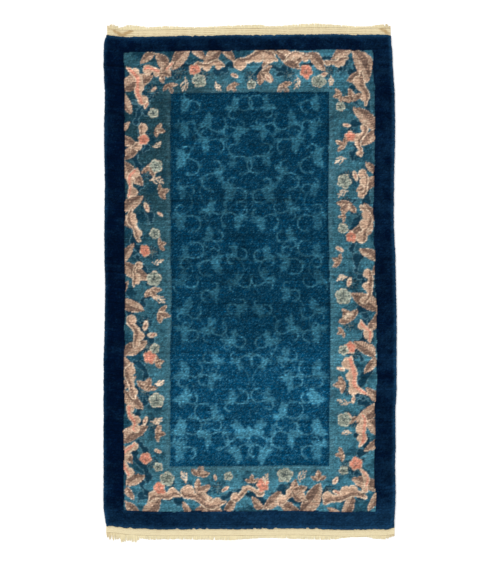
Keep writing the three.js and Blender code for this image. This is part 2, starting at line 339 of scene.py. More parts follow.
def stamp(layer, place, reach, level, rings, wander=1.0, groove=1.0):
    """Ties a motif's rings, one inside another, and notes the groove along its outline. level(a, b)
    says how far inside a point lies, a along the motif and b to its left, in millimetres."""
    columns = slice(*np.searchsorted(across, [place["x"] - reach, place["x"] + reach]))
    rows = slice(*np.searchsorted(along, [place["y"] - reach, place["y"] + reach]))
    dx, dy = X[rows, columns] - place["x"], Y[rows, columns] - place["y"]
    c, s = np.cos(place["turn"]), np.sin(place["turn"])
    inside = level(place["way"] * (dx * c + dy * s), dy * c - dx * s)
    inside = inside + wander * (ragged + wandering)[rows, columns]
    patch = layer[rows, columns]
    for ring in rings:
        wool = np.where(lot[rows, columns, None] < ring["share"], ring["fleck"], ring["yarn"])
        tied = ring["strength"] * (inside + ring["grow"] > 0)
        patch[..., :3] += tied[..., None] * (wool - patch[..., :3])
    clipped = groove * np.clip(1 - np.abs(inside + rings[0]["grow"]) / GROOVE_HALF_WIDTH, 0, 1)
    patch[..., 3] = np.where(inside > 0, clipped, np.maximum(patch[..., 3], clipped))


def soften(layer, own):
    """Blends each knot with the four next to it, of which it keeps its own share, as tufts do."""
    wool = layer[..., :3]
    near = wool[:-2, 1:-1] + wool[2:, 1:-1] + wool[1:-1, :-2] + wool[1:-1, 2:]
    wool[1:-1, 1:-1] = own * wool[1:-1, 1:-1] + (1 - own) / 4 * near


def new_layer(ground):
    """A layer of knots all of one yarn, with a fourth number for each: its share of a groove."""
    return np.concatenate([np.broadcast_to(ground, X.shape + (3,)), np.zeros(X.shape + (1,))], axis=2)


# %% Ovals, petals and veins


def oval(length, width):
    """Inside an oval: one less the scaled distance from its middle, in its smaller radius."""
    return lambda a, b: (1 - np.hypot(a / length, b / width)) * min(length, width)


def petals(radius, count, depth):
    """Inside a flower: the radius swells and draws in by depth, count times round."""

    def level(a, b):
        swell = np.abs(np.cos(count / 2 * np.arctan2(b, a)))
        return radius * (1 - depth + depth * swell) - np.hypot(a, b)

    return level


def veins(radius, count, half_width):
    """Inside the veins of a round leaf: half_width less the distance to the nearest of count
    lines from its middle, as far out as radius."""
    step = 2 * np.pi / count

    def level(a, b):
        away, angle = np.hypot(a, b), np.arctan2(b, a)
        off_line = away * np.abs(np.sin(angle - step * np.round(angle / step)))
        return np.minimum(half_width - off_line, radius - away)

    return level


# %% Bands, leaves and curls


def path_band(path, half_width):
    """Inside a band along a path: the half width at one of its points less the distance to it,
    at whichever point that is most."""
    return lambda a, b: np.max(half_width - np.hypot(a[..., None] - path[0], b[..., None] - path[1]), axis=-1)


def leaf(length, width, bend, side=0):
    """Inside a bent leaf: its half width, one arch of a sine, less the distance to its midrib,
    a parabola. With side 1 or -1 only the half to the left of the midrib or to its right."""

    def level(a, b):
        share = np.clip(a / length, 0, 1)
        off_rib = b - bend * a * share
        inside = width * np.sin(np.pi * share) ** 0.8 - np.abs(off_rib) - np.abs(a - length * share)
        return np.minimum(inside, side * off_rib) if side else inside

    return level


def leaf_veins(length, width, bend, pitch):
    """Inside the side veins of such a leaf, which slant forward off its midrib."""

    def level(a, b):
        off_rib = np.abs(b - bend * a * np.clip(a / length, 0, 1))
        off_vein = np.abs((a - 0.8 * off_rib) % pitch - pitch / 2)
        return np.minimum(0.28 * pitch - off_vein, leaf(length, width, bend)(a, b) - 1.5)

    return level


def curl(radius, turns, shrink):
    """A curl that starts at 0 along a and bends left: the angle runs through turns, and the
    radius shrinks by the share shrink."""
    t = np.linspace(0, 1, 70)
    radii = radius * (1 - shrink * t**1.3)
    angle = 2 * np.pi * turns * t
    return np.array([radii * np.sin(angle), radius - radii * np.cos(angle)])


# %% [markdown]
# ## The field: a scrolling vine, tone on tone
# The field is one teal, with a traditional scrolling vine in a lighter tone of it: lobed plumes
# in columns, budding scrolls between them, and worn stems from head to head. It is nearly the
# same on both sides of the long axis, as a chart read both ways gives. A loop draws it head by
# head, and chance makes every head a little different from the next.

# %% The field's ground
LATER_TINT = np.array([2.1, 1.82, 1.8])
LATER_LOT_Y = [-620, -480, -380, -200, -160, 0, 330, 480, 590]
LATER_LOT_SHARE = [0.95, 0.95, 0.85, 0.65, 0.2, 0.1, 0.22, 0.0, 0.2]
DARK_STREAKS = [
    {"y": 260, "from": -265, "to": 160, "depth": 0.45},
    {"y": 188, "from": -230, "to": 60, "depth": 0.25},
    {"y": -103, "from": -205, "to": 160, "depth": 0.4},
    {"y": -262, "from": -40, "to": 240, "depth": 0.2},
]
later_lot = np.interp(Y + 14 * blotches(80, 30), LATER_LOT_Y, LATER_LOT_SHARE)
field = new_layer(DEEP_TEAL)

# %% Yarns and lines of the vine
LINE_HALF_WIDTH = 1.5
LEAD = 0.95
TENDRIL = [ring_of(0, VINE_BLUE, LEAF_BLUE, 0.25, 0.7)]
WORN_TENDRIL = [ring_of(0, VINE_BLUE, LEAF_BLUE, 0.6, 0.45)]
FOLIAGE = [
    ring_of(2.0, LEAF_BLUE, DEEP_TEAL, 0.5, 0.2),
    ring_of(0, VINE_BLUE, LEAF_BLUE, 0.5, 0.46),
    ring_of(-3.0, LEAF_BLUE, VINE_BLUE, 0.4, 0.5),
]
VEINING = [ring_of(0, DEEP_TEAL, LEAF_BLUE, 0.3, 0.5)]
LOBES = 6
LOBE_STEP = 0.27
LOBE_LEAN = 0.95
LOBE_LENGTH = 0.37
SCROLL_BUDS = [{"at": 45, "size": 0.7}, {"at": -1, "size": 0.55}]
BUD_TURN = 0.4
STEM_BOW = 0.36

# %% Lobed plumes


def in_unit(unit, u, v, heading=0.0):
    """A place u outwards and v up from a unit's root, with a heading from its outward way. A
    unit can be mirrored left for right, by its way, and top for bottom, by its rise."""
    hand = unit["way"] * unit["rise"]
    turn = hand * heading + (np.pi if unit["rise"] < 0 else 0)
    return spot(unit["x"] + unit["way"] * u, unit["y"] + unit["rise"] * v, turn, hand)


def lobed(length, lobes):
    """Inside a lobed leaf: a slim one along the way, and pairs of shorter ones that lean off it,
    each as long and as far off as lobes says."""

    def level(a, b):
        inside = leaf(length, 0.16 * length, 0.15)(a, b)
        for number, lobe in enumerate(lobes):
            start, lean = LOBE_STEP * (number // 2) * length, LOBE_LEAN * (-1) ** number * lobe
            c, s = np.cos(lean), np.sin(lean)
            forward, off = (a - start) * c + b * s, b * c - (a - start) * s
            reach = (LOBE_LENGTH - 0.01 * number) * lobe * length
            inside = np.maximum(inside, leaf(reach, 0.42 * reach, 0.2)(forward, off))
        return inside

    return level


def plume(unit, u, v, heading, length):
    """A lobed leaf with dark veins, more or less worn."""
    place = in_unit(unit, u, v, heading)
    rings = [{**ring, "strength": ring["strength"] * unit["freshness"]} for ring in FOLIAGE]
    stamp(field, place, 1.2 * length, lobed(length, unit["lobes"]), rings, wander=0.6)
    stamp(field, place, length, oval(0.7 * length, 1.0), VEINING, wander=0, groove=0)


# %% Scrolls, stems and heads


def scroll(unit, heading, radius, turns):
    """A line that runs off the head's root and curls left, with a bud halfway and one on its end."""
    lead = np.linspace(0, LEAD * radius, 30)
    path = np.concatenate([[lead, 0 * lead], curl(radius, turns, 0.4) + [[lead[-1]], [0]]], axis=1)
    place = in_unit(unit, 0, 0, heading)
    stamp(field, place, 3 * radius, path_band(path, LINE_HALF_WIDTH), TENDRIL, wander=0.1, groove=0.4)
    c, s = np.cos(heading), np.sin(heading)
    for bud in SCROLL_BUDS:
        at = bud["at"]
        (a, b), (ahead, left) = path[:, at], path[:, at] - path[:, at - 1]
        way = heading + np.arctan2(left, ahead) - BUD_TURN
        plume(unit, a * c - b * s, a * s + b * c, way, bud["size"] * radius)


def stem(start, end, bow):
    """A line from one head's root to the next, bowed to its left by this share of its length."""
    dx, dy = end["x"] - start["x"], end["y"] - start["y"]
    gap = np.hypot(dx, dy)
    t = np.linspace(0, 1, 60)
    path = np.array([gap * t, bow * gap * np.sin(np.pi * t)])
    place = spot(start["x"], start["y"], np.arctan2(dy, dx))
    stamp(field, place, 1.1 * gap, path_band(path, LINE_HALF_WIDTH), WORN_TENDRIL, wander=0.1, groove=0.4)


def vine_unit(unit, stance, length, spread, radius, turns):
    """One head of the vine: a plume that hangs down, one that lies along the top outwards, a
    short one that stands up, and a wide scroll inwards with a lesser one outwards."""
    scroll(unit, stance + np.pi - 0.2, radius, turns)
    scroll(unit, stance + 0.7, 0.6 * radius, 0.9 * turns)
    plume(unit, 0, 0, stance + 0.1, spread * length)
    plume(unit, 0, 0, stance + 1.8, 0.5 * spread * length)
    plume(unit, 0, 0, stance - np.pi / 2, length)


# %% Columns of heads, mirrored on the rug's long axis
HEAD_COLUMNS = [42, 124, 200]
HEAD_ROWS = 13
FIELD_MARGIN = 36
MIRROR_SLIP = 5
first_head = FOOT + FIELD_LINE["foot"] + FIELD_MARGIN
row_pitch = (HEAD - FIELD_LINE["head"] - FIELD_MARGIN - first_head) / (HEAD_ROWS - 1)
for column, middle in enumerate(HEAD_COLUMNS):
    below = {}
    for row in range(HEAD_ROWS - column % 2):
        rise, hand = rng.choice([-1, 1], 2)
        if middle == HEAD_COLUMNS[-1]:
            hand = 1
        stance, length, spread = rng.uniform(-0.5, 0.5), rng.uniform(38, 54), rng.uniform(0.5, 0.95)
        radius, turns, lobes = rng.uniform(19, 33), rng.uniform(0.32, 0.56), rng.uniform(0.75, 1.25, LOBES)
        u = middle + 0.4 * hand * radius + rng.uniform(-8, 8)
        v = first_head + (row + 0.5 * (column % 2)) * row_pitch + 0.35 * rise * length + rng.uniform(-9, 9)
        freshness = rng.uniform(0.5, 1.0) * (1 - 0.3 * np.exp(-((v / 240) ** 2)))
        for way in (-1, 1):
            slip = rng.uniform(-MIRROR_SLIP, MIRROR_SLIP, 2)
            unit = spot(way * u + slip[0], v + slip[1], way=way * hand)
            unit |= {"rise": rise, "lobes": lobes, "freshness": freshness}
            vine_unit(unit, stance, length, spread, radius, turns)
            if row % 2:
                stem(below[way], unit, STEM_BOW * way * hand)
            below[way] = unit
print(f"a head of the vine every {row_pitch:.0f} mm in each column")

# %% Long pile blurs the vine, a later lot is paler, and a skein that ran out leaves a dark streak
soften(field, 0.4)
pale_tufts = np.clip(rng.normal(0, 0.12, X.shape), 0, 1)
field[..., :3] += pale_tufts[..., None] * (VINE_BLUE - field[..., :3])
field[..., :3] *= 1 + later_lot[..., None] * (LATER_TINT - 1)
for streak in DARK_STREAKS:
    fade = smooth((X - streak["from"]) / 30) * smooth((streak["to"] - X) / 30)
    here = np.exp(-(((Y - streak["y"]) / 4) ** 2)) * fade * (0.7 + 0.3 * blotches(20, 8))
    field[..., :3] *= 1 - streak["depth"] * here[..., None]

# %% [markdown]
# ## The inner border: leaves, clouds and peonies
# The border's warm motifs stand in a paler teal, traditional kinds in a free repeat: great brown
# leaves that spring from the navy, heaped clouds, peonies, rosettes, needle tufts, sprigs, puffs
# and small leaves. Each is placed by how far along its side and how far in it lies, so one table
# of lanes serves all four sides.

# %% Sides of the border, and places along them
corner_left, corner_right = LEFT + OUTER_LINE["left"], RIGHT - OUTER_LINE["right"]
corner_foot, corner_head = FOOT + OUTER_LINE["foot"], HEAD - OUTER_LINE["head"]
SIDES = [
    {"x": corner_left, "y": corner_foot, "turn": 0.0, "length": corner_right - corner_left},
    {"x": corner_right, "y": corner_foot, "turn": np.pi / 2, "length": corner_head - corner_foot},
    {"x": corner_right, "y": corner_head, "turn": np.pi, "length": corner_right - corner_left},
    {"x": corner_left, "y": corner_head, "turn": -np.pi / 2, "length": corner_head - corner_foot},
]


def along_side(side, ahead, inward, turn, way):
    """A place so far along a side and so far in from the navy. With way -1 the motif there is
    mirrored, and so is its turn."""
    c, s = np.cos(side["turn"]), np.sin(side["turn"])
    x, y = side["x"] + ahead * c - inward * s, side["y"] + ahead * s + inward * c
    return spot(x, y, side["turn"] + way * turn, way)


# %% The border's ground: pools of shade near the navy, thinning towards the field
FANS = 90
FAN_LINES = 3
FAN_STEP = 7
FAN_LINE = [ring_of(0, SKY_BLUE, BORDER_TEAL, 0.2, 0.6)]
border = new_layer(BORDER_TEAL)
upper_left = smooth(-3 * X / RIGHT) * smooth(2 * Y / HEAD)
near_head = smooth((Y - HEAD + 200) / 60)
near_foot = smooth((FOOT + 190 - Y) / 60)
lightness = 0.06 + 0.2 * X / RIGHT - 0.3 * Y / HEAD - 0.5 * upper_left + 0.5 * near_head + 0.12 * near_foot
border[..., :3] *= np.exp(lightness)[..., None]
shade = smooth(0.5 + 0.8 * blotches(38, 30) + 0.4 * blotches(12, 12) - in_border / 220)
for yarn, share in ((SHADE_TEAL, 0.75 * shade), (SKY_BLUE, 0.4 * (lot > 0.86))):
    border[..., :3] += share[..., None] * (yarn - border[..., :3])
border[..., :3] *= np.exp(rng.normal(0, 0.3, X.shape))[..., None]
for _ in range(FANS):
    x, y = rng.uniform(corner_left, corner_right), rng.uniform(corner_foot, corner_head)
    place = spot(x, y, rng.uniform(0, 2 * np.pi))
    radius, turns = rng.uniform(26, 50), rng.uniform(0.1, 0.28)
    for shift in FAN_STEP * np.arange(FAN_LINES):
        arc = curl(radius - shift, turns, 0.1) + [[0], [shift]]
        stamp(border, place, 100, path_band(arc, 1.3), FAN_LINE, wander=0, groove=0)

# %% Leaves, great and small


def turned(place, angle):
    """The same place with its motif turned on by an angle, the other way if it is mirrored."""
    return {**place, "turn": place["turn"] + place["way"] * angle}


LEAF_RIM = [ring_of(1.2, TAN, CREAM, 0.4), ring_of(-0.8, BROWN, TAN, 0.25)]
LEAF_LIGHT = [ring_of(-1.0, TAN, CREAM, 0.35)]
LEAF_RIBS = [ring_of(0, UMBER, BROWN, 0.4, 0.55)]
RIB_PITCH = 7.5


def shaded_leaf(place, length, width, bend):
    """A leaf with a light rim, one light half and one dark one, and umber veins."""
    bright_side = 1 if rng.random() < 0.5 else -1
    reach = 1.3 * length
    stamp(border, place, reach, leaf(length, width, bend), LEAF_RIM, wander=0.8)
    stamp(border, place, reach, leaf(length, width, bend, bright_side), LEAF_LIGHT, wander=0.4, groove=0)
    stamp(border, place, reach, leaf_veins(length, width, bend, RIB_PITCH), LEAF_RIBS, wander=0, groove=0)


def great_leaf(place, size):
    """Two broad leaves that leave one root in nearly opposite ways."""
    for spread, share, bend in ((2.5, 0.7, -0.4), (0.2, 1.0, 0.3)):
        shaded_leaf(turned(place, spread), share * size, 0.24 * share * size, bend)


def broad_leaf(place, size):
    """Three small leaves from one root."""
    for spread, share, bend in ((0.8, 0.8, 0.3), (-0.7, 0.85, -0.3), (0.0, 1.0, 0.1)):
        shaded_leaf(turned(place, spread), share * size, 0.22 * size, bend)


# %% Clouds
HEAPS = 3
CLOUD_POINTS = 40
CLOUD_RIM = 1.2
BLUSH_CHANCE = 0.16
WARM_CLOUD = [ring_of(1.7, CREAM, SAND, 0.3), ring_of(-CLOUD_RIM, SAND, TAN, 0.6)]
CLOUD_SHADE = [ring_of(0, BROWN, TAN, 0.3)]
CLOUD_BLUSH = [ring_of(0, CORAL, ROSE, 0.5)]
TEAL_CLOUD = [ring_of(2.2, SKY_BLUE, BORDER_TEAL, 0.35, 0.75), ring_of(0, SHADE_TEAL, strength=0.9)]


def cloud(size):
    """Inside a cloud: a flat bent band that tapers both ways, heaped up along one side."""
    bend, phase = rng.uniform(-0.25, 0.3), rng.uniform(0, 6)
    heaped_at = (np.arange(HEAPS) + rng.uniform(0.1, 0.9, HEAPS)) / HEAPS
    t = np.concatenate([np.linspace(0, 1, CLOUD_POINTS), heaped_at])
    is_heap = np.arange(len(t)) >= CLOUD_POINTS
    path = np.array([t - 0.5, bend * np.sin(np.pi * t) + 0.05 * np.sin(9 * t + phase) + 0.06 * is_heap])
    half_width = np.where(is_heap, rng.uniform(0.09, 0.16, len(t)), 0.08 * np.sin(np.pi * t) ** 0.4)
    return path_band(size * path, size * half_width)


def cloud_band(place, size):
    """A warm cloud, brown or now and then coral along the side that another such cloud, moved
    off, would leave bare."""
    level = cloud(size)
    shade = CLOUD_BLUSH if rng.random() < BLUSH_CHANCE else CLOUD_SHADE
    stamp(border, place, size, level, WARM_CLOUD, wander=0.9)

    def bared(a, b):
        return np.minimum(level(a, b) - CLOUD_RIM, -level(a, b - 0.1 * size))

    stamp(border, place, size, bared, shade, wander=0.6, groove=0)


def teal_cloud(place, size):
    """A cloud in the ground's own dark teal, with a pale rim."""
    stamp(border, place, size, cloud(size), TEAL_CLOUD, wander=0.8, groove=0.5)


# %% Peonies and rosettes


def veining(place, radius, count, half_width, ring):
    """Thin straight veins over a round motif, which the shears don't follow."""
    stamp(border, place, 2 * radius, veins(radius, count, half_width), [ring], wander=0, groove=0)


def peony(place, size):
    """Coral petals with a tan rim and brown veins."""
    heart = ring_of(-0.6 * size, ROSE, BROWN, 0.35)
    rings = [ring_of(1.5, TAN, CREAM, 0.4), ring_of(-0.6, CORAL, ROSE, 0.35), heart]
    stamp(border, place, 2 * size, petals(size, 5, 0.22), rings, wander=1.2)
    veining(place, 0.75 * size, 5, 0.8, ring_of(0, BROWN, CORAL, 0.5))


def rosette(place, size):
    """A round scalloped leaf: sage green with a paler rim and dark veins."""
    heart = ring_of(-0.5 * size, OLIVE, SAGE, 0.35)
    rings = [ring_of(0, CREAM, SAGE, 0.6), ring_of(-2.5, SAGE, OLIVE, 0.45), heart]
    stamp(border, place, 2 * size, petals(size, 5, 0.2), rings, wander=0.6)
    veining(place, 0.8 * size, 5, 0.7, ring_of(0, SHADE_TEAL, OLIVE, 0.4))


# %% Needles, sprigs and puffs of cloud
TWIGS = 6
TWIG_STEP = 0.15
STEM_LIFT = 0.12


def needle_tuft(place, size):
    """A dark round tuft with grey needles that stand out from its middle."""
    stamp(border, place, 2 * size, petals(size, 9, 0.2), [ring_of(0, SHADE_TEAL, BORDER_TEAL, 0.35, 0.85)])
    veining(place, 0.9 * size, 11, 0.7, ring_of(0, OLIVE, SKY_BLUE, 0.4, 0.8))


def sprig(place, size):
    """A cream twig: a bowed stem, and shorter twigs that curve off it to either side by turns."""
    t = np.linspace(0, 1, 24)
    lines = [np.array([size * (t - 0.5), STEM_LIFT * size * np.sin(np.pi * t)])]
    for number in range(TWIGS):
        share, way = 0.12 + TWIG_STEP * number, (-1) ** number
        a, b = (share - 0.5) * size, STEM_LIFT * size * np.sin(np.pi * share)
        twig = size * 0.4 * (1.15 - share) * rng.uniform(0.75, 1.2) * t
        lines.append(np.array([a + twig * (0.3 + 0.7 * t), b + way * twig * (1.1 - 0.4 * t)]))
    twigs = np.concatenate(lines, axis=1)
    stamp(border, place, 1.3 * size, path_band(twigs, 1.5), [ring_of(0, CREAM, SAND, 0.3)], wander=0.2)


def puff(place, size):
    """A small cream cloud with a tan underside."""
    stamp(border, place, 2 * size, oval(size, 0.45 * size), [ring_of(0, CREAM, SAND, 0.3)], wander=0.4)
    heart = oval(0.6 * size, 0.25 * size)
    stamp(border, place, 2 * size, heart, [ring_of(0, ROSE, BROWN, 0.5)], wander=0, groove=0)


# %% Lanes of motifs round the border
WARM_CLOUDS = [(cloud_band, 122), (cloud_band, 84), (cloud_band, 104)]
SMALL_LEAVES = [(rosette, 17), (broad_leaf, 28), (sprig, 34)]
SMALL_MOTIFS = [(rosette, 24), (sprig, 40), (broad_leaf, 36), (puff, 13), *SMALL_LEAVES]
LANES = [
    {"motifs": [(teal_cloud, 96), (teal_cloud, 64)], "pitch": 58, "inward": 46, "turn": 0.5},
    {"motifs": [(needle_tuft, 22)], "pitch": 120, "inward": 76, "turn": 0.0},
    {"motifs": [(great_leaf, 96), (great_leaf, 74)], "pitch": 136, "inward": -3, "turn": 0.4},
    {"motifs": WARM_CLOUDS, "pitch": 148, "inward": 36, "turn": 0.2},
    {"motifs": [(peony, 19), (broad_leaf, 44), (puff, 14)], "pitch": 112, "inward": 72, "turn": 0.4},
    {"motifs": SMALL_MOTIFS, "pitch": 54, "inward": 100, "turn": 1.2},
]
motif_count = 0
for lane in LANES:
    for side in SIDES:
        start = 0.8 * lane["inward"] + 24
        run = side["length"] - 2 * start
        count = round(run / lane["pitch"])
        for number in range(count):
            motif, size = lane["motifs"][motif_count % len(lane["motifs"])]
            ahead = start + run * (number + rng.uniform(0.25, 0.75)) / count
            inward = lane["inward"] + rng.uniform(-13, 13)
            turn, way = lane["turn"] + rng.uniform(-0.3, 0.3), rng.choice([-1, 1])
            motif(along_side(side, ahead, inward, turn, way), size * rng.uniform(0.86, 1.14))
            motif_count += 1
soften(border, 0.6)
print(f"{motif_count} motifs round the border")

# %% [markdown]
# ## Putting the rug's colours together
# Each part is cut from its own layer, and then the wool's unevenness goes over all of it. The
# navy gets a painted sheen: paler towards its rounded rim, where the sides of the tufts show, and
# at the foot, where the pile leans towards the light. Along the line where the pile is clipped
# down, the field's side gets a painted shade and the border's a painted highlight.

# %% Join the layers
RIM_SHEEN_WIDTH = 15
LEANING_WIDTH = 84
LEANING_FADE = 40
navy = new_layer(NAVY)
# Painted sheen: the navy is painted paler near its rounded rim and at both ends, where the pile leans towards
# the light. The blotches of worn tufts are the wool's own.
rim_sheen = (1.0 + 0.3 * X / RIGHT) * np.clip(1 - edge_reach / RIM_SHEEN_WIDTH, 0, 1) ** 1.3
foot_light = (0.47 + 0.12 * X / RIGHT) * smooth((FOOT + LEANING_WIDTH - Y) / LEANING_FADE)
head_light = 0.09 * smooth((Y - HEAD + LEANING_WIDTH) / LEANING_FADE) + 0.05 * X / RIGHT
worn_tufts = 0.06 + 0.04 * X / RIGHT
worn_tufts += 0.13 * blotches(60, 40) + 0.13 * blotches(22, 18) + 0.08 * blotches(9, 7)
worn_tufts += rng.normal(0, 0.09, X.shape)
paled = np.clip(rim_sheen + foot_light + head_light + worn_tufts, 0, 1)
navy[..., :3] += paled[..., None] * (SHEEN_AND_WORN_NAVY - NAVY)
# Painted shade on the field's side of the clipped line, and a painted highlight on the border's.
line_shade = np.clip(1 - np.abs(in_field - 5) / 6, 0, 1)
field[..., :3] *= 1 - 0.25 * line_shade[..., None]
line_light = np.clip(1 - np.abs(in_field + 7) / 10, 0, 1) * (0.7 + 0.6 * blotches(30, 30))
border[..., :3] += 0.25 * line_light[..., None] * (SKY_BLUE - border[..., :3])

chart = np.where(in_field[..., None] > 0, field, np.where(in_border[..., None] > 0, border, navy))
knots = chart[..., :3] * np.exp(wool_mottle + row_streaks + knot_by_knot)[..., None]
parts = {"field": in_field > 0, "inner border": (in_field < 0) & (in_border > 0), "navy": in_border < 0}
for part, inside in parts.items():
    print(part, "mean colour:", np.round(knots[inside].mean(axis=0), 3))

# %% [markdown]
# ## Height of the pile
# Shears leave the top level to about half a millimetre, lower in a groove along the border
# lines and round the motifs, and rounded off along the rim. All that is one sum of formulas.
# A touch of random height for each knot then keeps the light from sliding over it like paint.

# %% The height of every knot
EDGE_ROUNDING = 14
CARVED_DEPTH = 1.6
CARVED_HALF_WIDTH = 6
INCISED_DEPTH = 0.4
TUFT_ROUGHNESS = 0.2
SWELL = 0.35
RIPPLE = 0.25


def shoulder(reach):
    """A quarter of an ellipse, from 0 at the rim to 1 where the rounding ends."""
    t = np.clip(reach / EDGE_ROUNDING, 0, 1)
    return np.sqrt(1 - (1 - t) ** 2)


unevenness = SWELL * np.sin(2 * np.pi * X / 520) * np.cos(2 * np.pi * Y / 800)
unevenness += RIPPLE * np.sin(2 * np.pi * (X / 1320 + Y / 380))
groove = sum(np.clip(1 - np.abs(inside) / CARVED_HALF_WIDTH, 0, 1) for inside in (in_border, in_field))
incised = INCISED_DEPTH * chart[..., 3]
rounded = np.minimum(shoulder(np.minimum(from_left, from_right)), shoulder(np.minimum(from_foot, from_head)))
full_height = PILE_TOP - SWELL - RIPPLE + unevenness - CARVED_DEPTH * groove - incised
tufts = rng.normal(0, TUFT_ROUGHNESS, X.shape)
height = FLARE_HEIGHT + (full_height - FLARE_HEIGHT + tufts) * rounded
print(f"pile from {height.min():.1f} to {height.max():.1f} mm high")

# %% [markdown]
# ## Meshes from grids
# Every piece is a closed body. A helper puts its points, faces and colours into a mesh in one
# go. Faces made from grids are smooth, while walls and undersides stay flat, so that the
# shading of the pile doesn't bleed over its rim.


def make_piece(name, points, smooth_faces, flat_faces, colours, material, slot, *nodes):
    """A piece from points in millimetres and their linear colours, which replaces the nodes."""
    mesh = bpy.data.meshes.new(name)
    mesh.from_pydata((points * MM).tolist(), [], smooth_faces.tolist() + flat_faces)
    shading = np.arange(len(mesh.polygons)) < len(smooth_faces)
    mesh.polygons.foreach_set("use_smooth", shading)
    layer = mesh.color_attributes.new("dye", "FLOAT_COLOR", "POINT")
    rgba = np.column_stack([colours, np.ones(len(colours))]).astype(np.float32)
    layer.data.foreach_set("color", rgba.ravel())
    mesh.materials.append(material)
    mesh.update()
    piece = bpy.data.objects.new(name, mesh)
    bpy.context.scene.collection.objects.link(piece)
    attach(piece, "root")
    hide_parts(*nodes)
    print(f"{name}: {sum(len(p.vertices) - 2 for p in mesh.polygons)} triangles")
    return piece


def wall(upper, lower):
    """Quads between two closed rings of point numbers that run anticlockwise."""
    return np.stack([lower, np.roll(lower, -1), np.roll(upper, -1), upper], axis=1).tolist()


# %% [markdown]
# ## Wool
# Cut wool is matt, with a soft bloom of light where it is seen along the fibres, which a sheen
# layer gives. The tuft ends show as small round cells, and the fibres as a finer grain. Both
# are bumps worked out in the piece's own space, so they stay put on it.

# %% The yarn materials


def yarn_material(name, roughness, sheen, tuft, fibre, bump, variation):
    """Matt yarn: the knots' own colours, varied by a fine grain, over bumps of two sizes."""
    material = bpy.data.materials.new(name)
    material.use_nodes = True
    nodes, links = material.node_tree.nodes, material.node_tree.links
    shader = nodes["Principled BSDF"]
    shader.inputs["Roughness"].default_value = roughness
    shader.inputs["Specular IOR Level"].default_value = 0.0
    shader.inputs["Sheen Weight"].default_value = sheen
    shader.inputs["Sheen Roughness"].default_value = 0.5
    shader.inputs["Sheen Tint"].default_value = (0.35, 0.6, 0.8, 1)
    place = nodes.new("ShaderNodeTexCoord").outputs["Object"]

    grain = nodes.new("ShaderNodeTexNoise")
    grain.inputs["Scale"].default_value = 1 / (fibre * MM)
    grain.inputs["Detail"].default_value = 3
    links.new(place, grain.inputs["Vector"])
    tufts = nodes.new("ShaderNodeTexVoronoi")
    tufts.inputs["Scale"].default_value = 1 / (tuft * MM)
    links.new(place, tufts.inputs["Vector"])

    lightness = nodes.new("ShaderNodeMapRange")
    lightness.inputs["To Min"].default_value = 1 - variation
    lightness.inputs["To Max"].default_value = 1 + variation
    links.new(grain.outputs["Fac"], lightness.inputs["Value"])
    dyes = nodes.new("ShaderNodeAttribute")
    dyes.attribute_name = "dye"
    tint = nodes.new("ShaderNodeVectorMath")
    tint.operation = "SCALE"
    links.new(dyes.outputs["Color"], tint.inputs[0])
    links.new(lightness.outputs["Result"], tint.inputs["Scale"])
    links.new(tint.outputs["Vector"], shader.inputs["Base Color"])

    relief = nodes.new("ShaderNodeMath")
    relief.operation = "SUBTRACT"
    links.new(grain.outputs["Fac"], relief.inputs[0])
    links.new(tufts.outputs["Distance"], relief.inputs[1])
    bumps = nodes.new("ShaderNodeBump")
    bumps.inputs["Strength"].default_value = 0.7
    bumps.inputs["Distance"].default_value = bump * MM
    links.new(relief.outputs["Value"], bumps.inputs["Height"])
    links.new(bumps.outputs["Normal"], shader.inputs["Normal"])
    return material


WOOL = yarn_material("cut_wool", roughness=0.92, sheen=0.12, tuft=2.6, fibre=0.9, bump=0.7, variation=0.14)
BACK_WOOL = yarn_material(
    "knot_backs", roughness=0.95, sheen=0.0, tuft=2.5, fibre=1.2, bump=0.5, variation=0.2
)
COTTON = yarn_material(
    "undyed_cotton", roughness=0.95, sheen=0.05, tuft=1.3, fibre=0.7, bump=0.35, variation=0.08
)

# %% [markdown]
# ## The pile in three parts
# The whole pile is one woven piece, but the clipped lines part it to the eye into a navy
# border, an inner border and the field. Three meshes share the grid's crossings along those
# lines, so nothing gapes, and none of them is too heavy. At the rim the pile overhangs the
# foundation, because cut tufts splay.

# %% The pile's frayed rim
PILE_FLOOR = 3.2
PILE_FLARE = 3.5
FRAY_REACH = 8
NICK_DEPTH = 8
rug_x, rug_y = on_the_rug(X, Y)
fray = 0.7 * blotches(20, 20) + 1.1 * blotches(7, 7) + rng.normal(0, 0.4, X.shape)
outer_share = [np.clip(1 - reach / FRAY_REACH, 0, 1) for reach in reaches]
nicks = NICK_DEPTH * (rng.random(KNOT_COLUMNS + 1) > 0.94) * rng.random(KNOT_COLUMNS + 1)
nicks = np.convolve(nicks, [0.5, 0.9, 0.7, 0.3], "same")
rug_x += 0.5 * fray * (outer_share[1] - outer_share[0])
rug_y += (fray - 0.5 * nicks) * outer_share[3] - (fray - nicks) * outer_share[2]


# %% Rings and strips of the grid


def round_knots(lines):
    """Rows and columns of the knots round a rectangle, anticlockwise from its left foot corner,
    and where in that list the corners are."""
    c0, c1, r0, r1 = lines
    columns, rows = np.arange(c0, c1), np.arange(r0, r1)
    column = np.concatenate([columns, np.full(len(rows), c1), columns[::-1] + 1, np.full(len(rows), c0)])
    row = np.concatenate([np.full(len(columns), r0), rows, np.full(len(columns), r1), rows[::-1] + 1])
    return row, column, np.cumsum([0, len(columns), len(rows), len(columns), len(rows)])


